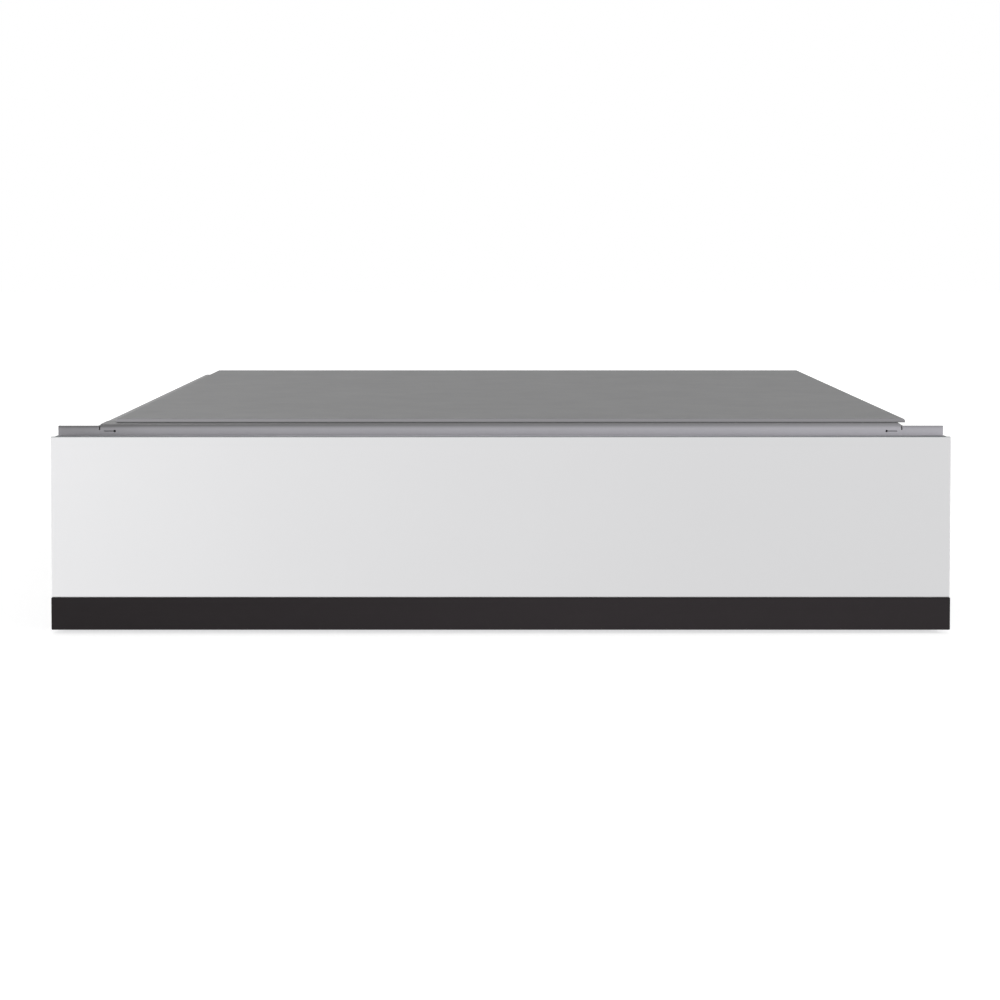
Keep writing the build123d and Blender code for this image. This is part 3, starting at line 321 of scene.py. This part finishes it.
def piece(name, shape, finish, body, node):
    """Makes an object of a shape. It rides on a body and stands for a CAD node."""
    mesh = bpy.data.meshes.new(name)
    shape.to_mesh(mesh)
    shape.free()
    mesh.materials.append(finish.material)
    mesh.shade_smooth()
    mesh.set_sharp_from_angle(angle=math.radians(CREASE))
    made = bpy.data.objects.new(name, mesh)
    bpy.context.scene.collection.objects.link(made)
    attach(made, body)
    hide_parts(node)
    return made


def fasten(name, node, mould, along, heading, finish, body):
    """Puts a fastener in the place of each solid of a CAD node. Their axis is number along."""
    boxes = solids(node)
    shape = mould(boxes[0][1] - boxes[0][0], along)
    piece(name, repeated(shape, seats(boxes, heading)), finish, body, node)


def plated(name, colour, roughness, tarnish):
    """Bright zinc plating: bluish, with cloudy yellow passivation and fine rubbing marks."""
    finish = Finish(name, {"Metallic": 1.0})
    bloom = finish.cloud(5 * MM, detail=3)
    finish.set({"Base Color": finish.blend(bloom * tarnish, colour, (0.62, 0.56, 0.42))})
    finish.set({"Roughness": roughness - 0.08 + 0.16 * finish.cloud(1.5 * MM)})
    finish.relief(finish.cloud(0.25 * MM, detail=1), 0.01 * MM)
    return finish


RIVET_HEAD, RIVET_NECK, RIVET_BORE, RIVET_TAIL = 3.0 * MM, 1.6 * MM, 0.95 * MM, 2.4 * MM
RIVET_RISE, RIVET_STUB, RIVET_BULB = 1.0 * MM, 0.45 * MM, 1.0 * MM


def blind_rivet(size, along):
    """Blind rivet as long as that size, its head's top at height 0."""
    length = size[along]
    crown = [p for p in dome(RIVET_HEAD, RIVET_RISE, 8) if p[0] > RIVET_BORE]
    stub = [(0, -0.3 * MM), (0.6 * MM, -0.35 * MM), (RIVET_BORE - 0.1 * MM, -RIVET_STUB)]
    bore = [(RIVET_BORE, -RIVET_STUB), (RIVET_BORE, crown[0][1])]
    neck = [(RIVET_NECK, -RIVET_RISE), (RIVET_NECK, RIVET_BULB - length)]
    bulb = [(RIVET_TAIL, RIVET_BULB * 0.8 - length), (RIVET_TAIL, RIVET_BULB * 0.3 - length)]
    return turned([*stub, *bore, *crown, *neck, *bulb, (RIVET_NECK, -length), (0, -length)])


def outward(middle):
    """Heading of a head on the outside of a side wall."""
    return (math.copysign(1, middle.x), 0, 0)


rivet_steel = plated("rivet_steel", (0.58, 0.59, 0.6), 0.34, 0.25)
fasten("casing_blind_rivets", "casing_rivets", blind_rivet, 0, outward, rivet_steel, "casing")


# Front frame and buffers: flange plate with the drawer's window and screw holes, folded round the
# casing's mouth. Its lighter paint carries painted shade: a painted shadow up over the fold under
# the cover's lip, and painted shading that darkens it towards the left, most at its left end. Four
# soft black studs are pushed into it.
FLANGE_GREY = (0.55, 0.54, 0.58)
# Colour of the painted shade on the fold and towards the left.
FLANGE_SHADE_GREY = (0.16, 0.158, 0.162)
FOLD_RISE = 3.5 * MM  # from the flange's face up to the ledge
LEFT_END_SHADE = {"From Min": -0.28, "From Max": -0.235, "To Min": 0.16, "To Max": 0}
flange_paint = painted("flange_paint", FLANGE_GREY, 0.5, 0.2, 0.03 * MM)
x = flange_paint.along("X")
ledge_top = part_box("front_frame")[1].z
# Painted shade: a shadow of the cover's lip up over the fold, and shading darker to the left,
# darkest at the left end.
rise = {"Value": flange_paint.along("Z"), "From Min": ledge_top - FOLD_RISE, "From Max": ledge_top}
ledge = flange_paint.node("MapRange", {"interpolation_type": "SMOOTHSTEP"}, rise)
left_end_shade = flange_paint.node("MapRange", {}, {"Value": x, **LEFT_END_SHADE})
painted_shade = ledge * 0.6 + (0.3 - x * 0.9) + left_end_shade
flange_paint.set({"Base Color": flange_paint.blend(painted_shade, flange_paint.colour, FLANGE_SHADE_GREY)})
dress(flange_paint, "front_frame")

rubber = Finish("buffer_rubber", {"Specular IOR Level": 0.35})
bloom = rubber.cloud(1.2 * MM)
rubber.set({"Base Color": rubber.blend(bloom, (0.014, 0.014, 0.015), (0.024, 0.024, 0.026))})
rubber.set({"Roughness": 0.55 + 0.2 * bloom})
rubber.relief(rubber.cloud(0.3 * MM), 0.02 * MM)
dress(rubber, "frame_buffers")


# Top cover: shallow pan of grey satin sheet that lies off centre on the casing's flanges, with
# three zinc hat channels under it. It hooks in at the front, where its lip carries a painted
# highlight, and has screws in its rear lip.
COVER_GREY = (0.243, 0.243, 0.245)
# Colour of the painted highlight on the front lip.
LIP_HIGHLIGHT_GREY = (0.325, 0.32, 0.335)
LIP_DEPTH, LIP_HEIGHT = 1.2 * MM, 2.1 * MM
cover_paint = painted("cover_paint", COVER_GREY, 0.55, 0.1, 0.03 * MM)
cover_low, cover_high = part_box("top_cover")
# Painted highlight along the upper part of the front lip.
in_front = cover_paint.along("Y") < cover_low.y + LIP_DEPTH
lip = in_front * (cover_paint.along("Z") > cover_high.z - LIP_HEIGHT)
cover_paint.set({"Base Color": cover_paint.blend(lip, cover_paint.colour, LIP_HIGHLIGHT_GREY)})
dress(cover_paint, "top_cover")


def rolled_zinc(name, roughness, grain):
    """Zinc-plated sheet with fine roll lines along Y and pale crystals."""
    finish = Finish(name, {"Metallic": 1.0})
    crystals = {"Vector": finish.place, "Scale": 260.0}  # to the metre
    flower = finish.node("TexVoronoi", {}, crystals, "Color")
    tone = finish.node("SeparateColor", {}, {0: flower}) * 0.35 + finish.cloud(30 * MM) * 0.65
    lines = finish.cloud(0.35 * MM, (1, 90, 1), detail=3)
    finish.colour = finish.blend(tone, (0.5, 0.52, 0.55), (0.66, 0.67, 0.68))
    finish.rough = roughness - 0.1 + 0.2 * lines
    finish.set({"Base Color": finish.colour, "Roughness": finish.rough})
    finish.relief(lines, grain)
    return finish


sheet_zinc = rolled_zinc("sheet_zinc", 0.42, 0.01 * MM)
dress(sheet_zinc, "cover_stiffeners")


# Cover screws: three zinc-plated pan-head screws with a cross recess, through the cover's rear
# lip. Each cuts its own thread in the casing's back.
TOOTH = 0.6  # width of a thread's tooth, as a share of the pitch
THREAD_FOOT = 0.98  # radius of its foot, as a share of the shank's
POINT = 0.6  # radius of a screw's point, as a share of the shank's
THREAD_SIDES = 14
FOOT_SPAN, FOOT_SLOT = 0.55, 0.85  # shares that a recess keeps at its bottom


def thread(shape, crest, root, top, bottom, pitch):
    """Winds a thread round a shank, from height top down to bottom."""
    foot = root * THREAD_FOOT
    tooth = [(foot, 0), (crest, -TOOTH / 2 * pitch), (foot, -TOOTH * pitch)]
    line = [shape.verts.new((radius, 0, top + height)) for radius, height in tooth]
    edges = [shape.edges.new(pair) for pair in zip(line, line[1:] + line[:1])]
    count = round(((top - bottom) / pitch - TOOTH) * THREAD_SIDES)
    turn = {"cent": (0, 0, 0), "axis": (0, 0, 1), "angle": -2 * math.pi * count / THREAD_SIDES}
    fall = (0, 0, -pitch / THREAD_SIDES)
    bmesh.ops.spin(shape, geom=line + edges, dvec=fall, steps=count, **turn)
    bmesh.ops.holes_fill(shape, edges=[e for e in shape.edges if e.is_boundary], sides=3)
    bmesh.ops.recalc_face_normals(shape, faces=shape.faces)


def cross_recess(shape, span, slot, depth):
    """Cuts a cross recess, narrower at its bottom, into a head whose top is at height 0."""
    blank = bpy.data.objects.new("blank", bpy.data.meshes.new("blank"))
    shape.to_mesh(blank.data)
    bpy.context.scene.collection.objects.link(blank)
    across = (span, slot, (FOOT_SPAN, FOOT_SLOT, 1))
    upright = (slot, span, (FOOT_SLOT, FOOT_SPAN, 1))
    tools = []
    for width, height, taper in (across, upright):
        bar = bmesh.new()
        bmesh.ops.create_cube(bar, size=2)
        bmesh.ops.scale(bar, vec=(width / 2, height / 2, depth), verts=bar.verts)
        foot = [vert for vert in bar.verts if vert.co.z < 0]
        bmesh.ops.scale(bar, vec=taper, verts=foot)
        tool = bpy.data.objects.new("tool", bpy.data.meshes.new("tool"))
        bar.to_mesh(tool.data)
        bpy.context.scene.collection.objects.link(tool)
        cut = blank.modifiers.new("recess", "BOOLEAN")
        cut.object, cut.operation, cut.solver = tool, "DIFFERENCE", "EXACT"
        tools.append(tool)
    ready = blank.evaluated_get(bpy.context.evaluated_depsgraph_get())
    shape.clear()
    shape.from_mesh(ready.to_mesh())
    for used in (blank, *tools):
        bpy.data.objects.remove(used)


SCREW_HEAD, SCREW_CREST, SCREW_ROOT, SCREW_PITCH = 1.8 * MM, 1.88 * MM, 1.4 * MM, 1.0 * MM
RECESS_SPAN, RECESS_SLOT, RECESS_DEPTH = 3.8 * MM, 0.9 * MM, 1.2 * MM
SCREW_TIP = 0.5 * MM


def pan_screw(size, along):
    """Pan-head screw as long and as wide as that size, its head's top at height 0."""
    length, head = size[along], size[along - 1] / 2
    crown = dome(head, SCREW_HEAD / 2, 4)
    shank = [(head, -SCREW_HEAD), (SCREW_ROOT, -SCREW_HEAD), (SCREW_ROOT, SCREW_TIP - length)]
    shape = turned([*crown, *shank, (SCREW_ROOT * POINT, -length), (0, -length)])
    cross_recess(shape, RECESS_SPAN, RECESS_SLOT, RECESS_DEPTH)
    thread(shape, SCREW_CREST, SCREW_ROOT, -SCREW_HEAD, -length, SCREW_PITCH)
    return shape


def backward(middle):
    """Heading of a head that looks to the back."""
    return (0, 1, 0)


screw_zinc = plated("screw_zinc", (0.62, 0.64, 0.67), 0.28, 0.4)
fasten("cover_cross_screws", "cover_screws", pan_screw, 1, backward, screw_zinc, "casing")


# Outer runner members: hard cold-rolled channels, zinc-plated, whose edges roll over the first
# row of balls. Three countersunk screws each hold them on the side walls, a moulded stop ends
# them. The races along both edges have a smeared film of grease.
GREASE = (0.36, 0.33, 0.27)
RACE = 0.37  # where a race begins, from the middle, as a share of the member's height
member_zinc = rolled_zinc("member_zinc", 0.34, 0.006 * MM)
member_low, member_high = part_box("left_runner_outer")
member_height = member_high.z - member_low.z
off_middle = member_zinc.along("Z") - member_low.z - member_height / 2
race = off_middle**2 > (member_height * RACE) ** 2
film = race * member_zinc.cloud(5 * MM, (1, 9, 1), detail=3)
member_zinc.set({"Base Color": member_zinc.blend(film * 0.7, member_zinc.colour, GREASE)})
member_zinc.set({"Roughness": member_zinc.rough - film * 0.14})
dress(member_zinc, "left_runner_outer", "right_runner_outer")

SUNK_HEAD, SUNK_CREST, SUNK_ROOT, SUNK_CONE = 2.95 * MM, 1.95 * MM, 1.5 * MM, 0.95 * MM
SUNK_SPAN, SUNK_SLOT, SUNK_RECESS = 3.2 * MM, 0.8 * MM, 1.0 * MM
SUNK_TIP, SUNK_PITCH = 0.4 * MM, 0.8 * MM


def sunk_screw(size, along):
    """Countersunk screw as long as that size, its flat head's top at height 0."""
    length = size[along]
    head = [(0, 0), (SUNK_HEAD, 0), (SUNK_CREST, -SUNK_CONE), (SUNK_ROOT, -SUNK_CONE)]
    tip = [(SUNK_ROOT, SUNK_TIP - length), (SUNK_ROOT * POINT, -length), (0, -length)]
    shape = turned([*head, *tip])
    cross_recess(shape, SUNK_SPAN, SUNK_SLOT, SUNK_RECESS)
    thread(shape, SUNK_CREST, SUNK_ROOT, -SUNK_CONE, -length, SUNK_PITCH)
    return shape


def inward(middle):
    """Heading of a head on the inside of a side wall."""
    return (-math.copysign(1, middle.x), 0, 0)


fasten("runner_sunk_screws", "runner_casing_screws", sunk_screw, 0, inward, screw_zinc, "casing")

natural = Finish("stop_plastic", {"Subsurface Weight": 0.15, "Subsurface Scale": 0.002})
milk = natural.cloud(3 * MM)
natural.set({"Base Color": natural.blend(milk, (0.56, 0.55, 0.5), (0.62, 0.62, 0.58))})
natural.set({"Roughness": 0.38 + 0.12 * milk})
natural.relief(natural.cloud(0.4 * MM), 0.01 * MM)
dress(natural, "left_runner_stop", "right_runner_stop")


# Middle and inner members: narrower channels of the same strip, one gliding in the other on the
# balls. Four screws each hold the inner ones on the tray.
dress(member_zinc, "left_runner_middle", "right_runner_middle")
dress(member_zinc, "left_runner_inner", "right_runner_inner")


# Ball cages and balls: thin zinc-plated strip, punched with open pockets that carry bright
# hardened steel balls with a film of grease.
cage_zinc = rolled_zinc("cage_zinc", 0.38, 0.008 * MM)
ball_steel = Finish("ball_steel", {"Metallic": 1.0, "Coat Roughness": 0.12})
grease = ball_steel.cloud(1.4 * MM, detail=3)
ball_steel.set({"Base Color": ball_steel.blend(grease, (0.6, 0.6, 0.62), (0.5, 0.47, 0.42))})
ball_steel.set({"Roughness": 0.07 + 0.15 * grease, "Coat Weight": 0.4 * grease})
for hand in ("left", "right"):
    dress(cage_zinc, f"{hand}_outer_cage", f"{hand}_inner_cage")
    dress(ball_steel, f"{hand}_outer_balls", f"{hand}_inner_balls")


# Push latch: moulded grey housing and cap on the casing's back, with two screws. In it are a
# plunger with a magnet in its head, and a spring of hard-drawn wire that the plunger squeezes.
def moulded(name, low, high, grain):
    """Moulded plastic with an eroded grain and faint flow marks."""
    finish = Finish(name, {"Specular IOR Level": 0.4})
    flow = finish.cloud(9 * MM, (1, 3, 1))
    finish.set({"Base Color": finish.blend(flow, low, high), "Roughness": 0.42 + 0.16 * flow})
    finish.relief(finish.cloud(0.35 * MM), grain)
    return finish


def forward(middle):
    """Heading of a head that looks to the front."""
    return (0, -1, 0)


dark_plastic = moulded("latch_plastic", (0.095, 0.1, 0.11), (0.12, 0.125, 0.137), 0.015 * MM)
pale_plastic = moulded("plunger_plastic", (0.42, 0.42, 0.42), (0.5, 0.5, 0.49), 0.008 * MM)
dress(dark_plastic, "latch_housing", "latch_cap")
dress(pale_plastic, "latch_plunger")
fasten("latch_cross_screws", "latch_screws", pan_screw, 1, forward, screw_zinc, "casing")

magnet = Finish("magnet", {"Metallic": 1.0})
grain = magnet.cloud(0.5 * MM, detail=4)
magnet.set({"Base Color": magnet.blend(grain, (0.34, 0.34, 0.36), (0.5, 0.49, 0.48))})
magnet.set({"Roughness": 0.22 + 0.25 * grain})
magnet.relief(grain, 0.01 * MM)
dress(magnet, "latch_magnet")

wire = Finish("spring_wire", {"Metallic": 1.0})
drawn = wire.cloud(0.2 * MM, (1, 6, 1), detail=3)
wire.set({"Base Color": wire.blend(drawn, (0.3, 0.3, 0.31), (0.5, 0.5, 0.51))})
wire.set({"Roughness": 0.25 + 0.2 * drawn})
wire.relief(drawn, 0.004 * MM)
coil = bmesh.new()
coil.from_mesh(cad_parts["latch_spring"].data)
bmesh.ops.remove_doubles(coil, verts=coil.verts, dist=WELD)
bmesh.ops.recalc_face_normals(coil, faces=coil.faces)
spring = piece("coiled_spring", coil, wire, "casing", "latch_spring")
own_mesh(spring)


# Tray: floor and sides folded from one sheet, front and back set in between, all with an
# anthracite powder coat. A zinc striker plate is riveted to its back, and pan-head screws hold
# its sides on the inner runner members.
tray_coat = painted("tray_coat", (0.105, 0.108, 0.117), 0.52, 0.4, 0.06 * MM)
dress(tray_coat, "tray", "tray_front", "tray_back")
dress(sheet_zinc, "striker_plate")
fasten("striker_blind_rivets", "striker_rivets", blind_rivet, 1, backward, rivet_steel, "drawer")
fasten("tray_cross_screws", "runner_tray_screws", pan_screw, 0, inward, screw_zinc, "drawer")


# Anti-slip mat: black rubber, cut to the tray's floor, with low ribs from front to back and a
# plain border all round.
MAT_RIB, MAT_RELIEF, MAT_DRAFT = 2 * MM, 0.6 * MM, 0.3 * MM
MAT_BORDER, MAT_CORNER = 9 * MM, 6 * MM
mat_low, mat_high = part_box("anti_slip_mat")
mat_size = mat_high - mat_low
mat = bmesh.new()
bmesh.ops.create_cube(mat, size=1)
bmesh.ops.scale(mat, vec=(mat_size.x, mat_size.y, mat_size.z - MAT_RELIEF), verts=mat.verts)
mat_middle = (mat_low + mat_high - Vector((0, 0, MAT_RELIEF))) / 2
bmesh.ops.translate(mat, vec=mat_middle, verts=mat.verts)
uprights = [e for e in mat.edges if abs(e.verts[0].co.z - e.verts[1].co.z) > MM]
corner = {"affect": "EDGES", "segments": 5, "profile": 0.5, "material": -1}
bmesh.ops.bevel(mat, geom=uprights, offset=MAT_CORNER, **corner)


def slice_at(point, normal):
    """Cuts new edges into the mat, all round at a plane."""
    plane = {"dist": 0.0001 * MM, "plane_co": point, "plane_no": normal}
    bmesh.ops.bisect_plane(mat, geom=[*mat.verts, *mat.edges, *mat.faces], **plane)


for side in (mat_low.y + MAT_BORDER, mat_high.y - MAT_BORDER):
    slice_at((0, side, 0), (0, 1, 0))
ribs = int((mat_size.x - 2 * MAT_BORDER) / (2 * MAT_RIB))
first_rib = mat_middle.x - (ribs - 0.5) * MAT_RIB
for i in range(2 * ribs):
    slice_at((first_rib + i * MAT_RIB, 0, 0), (1, 0, 0))
rib_tops = []
for face in mat.faces:
    spot = face.calc_center_median()
    inside = abs(spot.y - mat_middle.y) < mat_size.y / 2 - MAT_BORDER and face.normal.z > 0.9
    number = (spot.x - first_rib) / MAT_RIB
    if inside and 0 < number < 2 * ribs - 1 and int(number) % 2 == 0:
        rib_tops.append(face)
bmesh.ops.inset_individual(mat, faces=rib_tops, thickness=MAT_DRAFT, depth=MAT_RELIEF)
mat_rubber = Finish("mat_rubber", {"Specular IOR Level": 0.3})
dust = mat_rubber.cloud(40 * MM, detail=4)
dusty = mat_rubber.blend(dust, (0.016, 0.016, 0.017), (0.028, 0.028, 0.029))
mat_rubber.set({"Base Color": dusty, "Roughness": 0.6 + 0.2 * mat_rubber.cloud(2 * MM)})
mat_rubber.relief(mat_rubber.cloud(0.5 * MM), 0.03 * MM)
piece("ribbed_mat", mat, mat_rubber, "drawer", "anti_slip_mat")


# Front carrier and inner panel: two sheet-steel pans, one in the other, painted like the frame,
# with zinc hat channels between them and four screws through the tray's front. The carrier's top
# edge has painted shade, darker towards both ends.
FRONT_GREY = (0.48, 0.472, 0.512)
# Colour of the painted shade at the ends of the carrier's top edge.
EDGE_SHADE_GREY = (0.21, 0.206, 0.224)
EDGE_HEIGHT = 1.3 * MM
front_paint = painted("front_paint", FRONT_GREY, 0.5, 0.3, 0.03 * MM)
# Painted shade on the carrier's top edge, growing towards both ends.
on_edge = front_paint.along("Z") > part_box("front_carrier")[1].z - EDGE_HEIGHT
ends = front_paint.along("X") ** 2 * 11 * on_edge
front_paint.set({"Base Color": front_paint.blend(ends, front_paint.colour, EDGE_SHADE_GREY)})
dress(front_paint, "front_carrier", "front_inner_panel")
dress(sheet_zinc, "front_stiffeners")
fasten("front_cross_screws", "front_screws", pan_screw, 1, backward, screw_zinc, "drawer")


# Front glass: flat pane, white lacquer fired on its back, edges ground and polished, held by
# black foam tape. The face shows the lacquer, the edges behind it show the glass's green.
GLASS_GREEN = (0.09, 0.135, 0.118)
GLASS_FACE = 0.15  # share of the pane's depth that looks like its face
glass = Finish("front_glass", {"Coat Roughness": 0.03, "Roughness": 0.5, "Specular IOR Level": 0})
glass_low, glass_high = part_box("front_glass")
depth = (glass.along("Y") - glass_low.y) * (1 / (glass_high.y - glass_low.y))
edge = depth > GLASS_FACE
lacquer = glass.blend(glass.cloud(90 * MM), (0.817, 0.817, 0.827), (0.833, 0.833, 0.843))
glass.set({"Base Color": glass.blend(edge, lacquer, GLASS_GREEN), "Coat Weight": 1 - edge})
dress(glass, "front_glass")

foam = Finish("foam_tape", {"Specular IOR Level": 0.2, "Roughness": 0.9})
pores = foam.node("TexVoronoi", {}, {"Vector": foam.place, "Scale": 2200.0})  # to the metre
foam.set({"Base Color": foam.blend(pores, (0.006, 0.006, 0.006), (0.03, 0.03, 0.03))})
foam.relief(pores, 0.1 * MM)
dress(foam, "glass_tape")


# Trim strip: black anodised aluminium, finely brushed along its length, snapped over five clips
# of spring steel. Painted light makes it lighter to the right, and a painted shadow darkens it
# along its top edge.
STRIP_DARK, STRIP_LIGHT = (0.0065, 0.0045, 0.0052), (0.026, 0.0215, 0.0235)
STRIP_EDGE = 0.7 * MM
# Where the painted light on the strip is strongest.
STRIP_LIT_PEAK = 0.05  # metres right of the middle, where it is lightest
strip = Finish("strip_black", {"Specular IOR Level": 0.15})
brushed = strip.cloud(0.12 * MM, (300, 1, 1), detail=3)
strip_low, strip_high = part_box("trim_strip")
lit_to_right = {"Value": strip.along("X"), "From Min": strip_low.x, "From Max": STRIP_LIT_PEAK}
top_edge_shadow = strip.along("Z") > strip_high.z - STRIP_EDGE
# Painted light rising to the right and a painted shadow along the top edge, mixed with the
# brushing.
tone = (strip.node("MapRange", {}, lit_to_right) * 0.75 + brushed * 0.25) * (1 - top_edge_shadow * 0.6)
strip.set({"Base Color": strip.blend(tone, STRIP_DARK, STRIP_LIGHT)})
strip.set({"Roughness": 0.3 + 0.12 * brushed})
strip.relief(brushed, 0.004 * MM)
dress(strip, "trim_strip")
dress(wire, "trim_clips")
